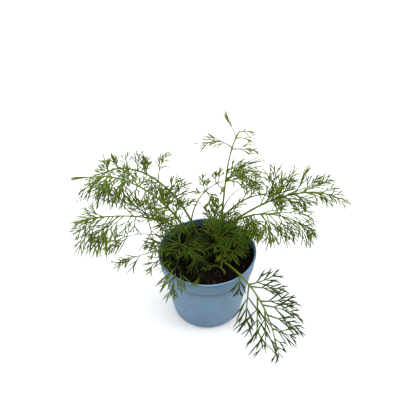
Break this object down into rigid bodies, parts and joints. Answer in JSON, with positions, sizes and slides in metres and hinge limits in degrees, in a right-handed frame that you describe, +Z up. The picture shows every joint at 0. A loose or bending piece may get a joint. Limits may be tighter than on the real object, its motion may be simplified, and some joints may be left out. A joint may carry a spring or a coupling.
{
  "type": "potted dill",
  "caption": "Small tapered plastic herb pot filled with soil, with dill seedlings whose feathery leaves arch out over its rim; it stands on its flat foot.",
  "frame": {"origin": "centre of the pot's foot, on the surface that it stands on", "axes": "+Z up; +X to the right as the picture is seen, along the plant's longest spread; -Y towards the viewer"},
  "size_m": [0.2957, 0.1772, 0.2378],
  "materials": {
    "pot_plastic": "satin",
    "soil": "rough",
    "dill_green": "matte"
  },
  "bodies": {
    "root": {"pot": "pot_plastic", "soil": "soil", "dill_left_arch": "dill_green", "dill_left_middle": "dill_green", "dill_left_low": "dill_green", "dill_left_bush": "dill_green", "dill_tall": "dill_green", "dill_right_upper": "dill_green", "dill_right_long": "dill_green", "dill_right_lower": "dill_green", "dill_right_bush": "dill_green", "dill_front": "dill_green", "dill_back": "dill_green", "dill_middle": "dill_green", "dill_sprout": "dill_green"}
  },
  "joints": []
}
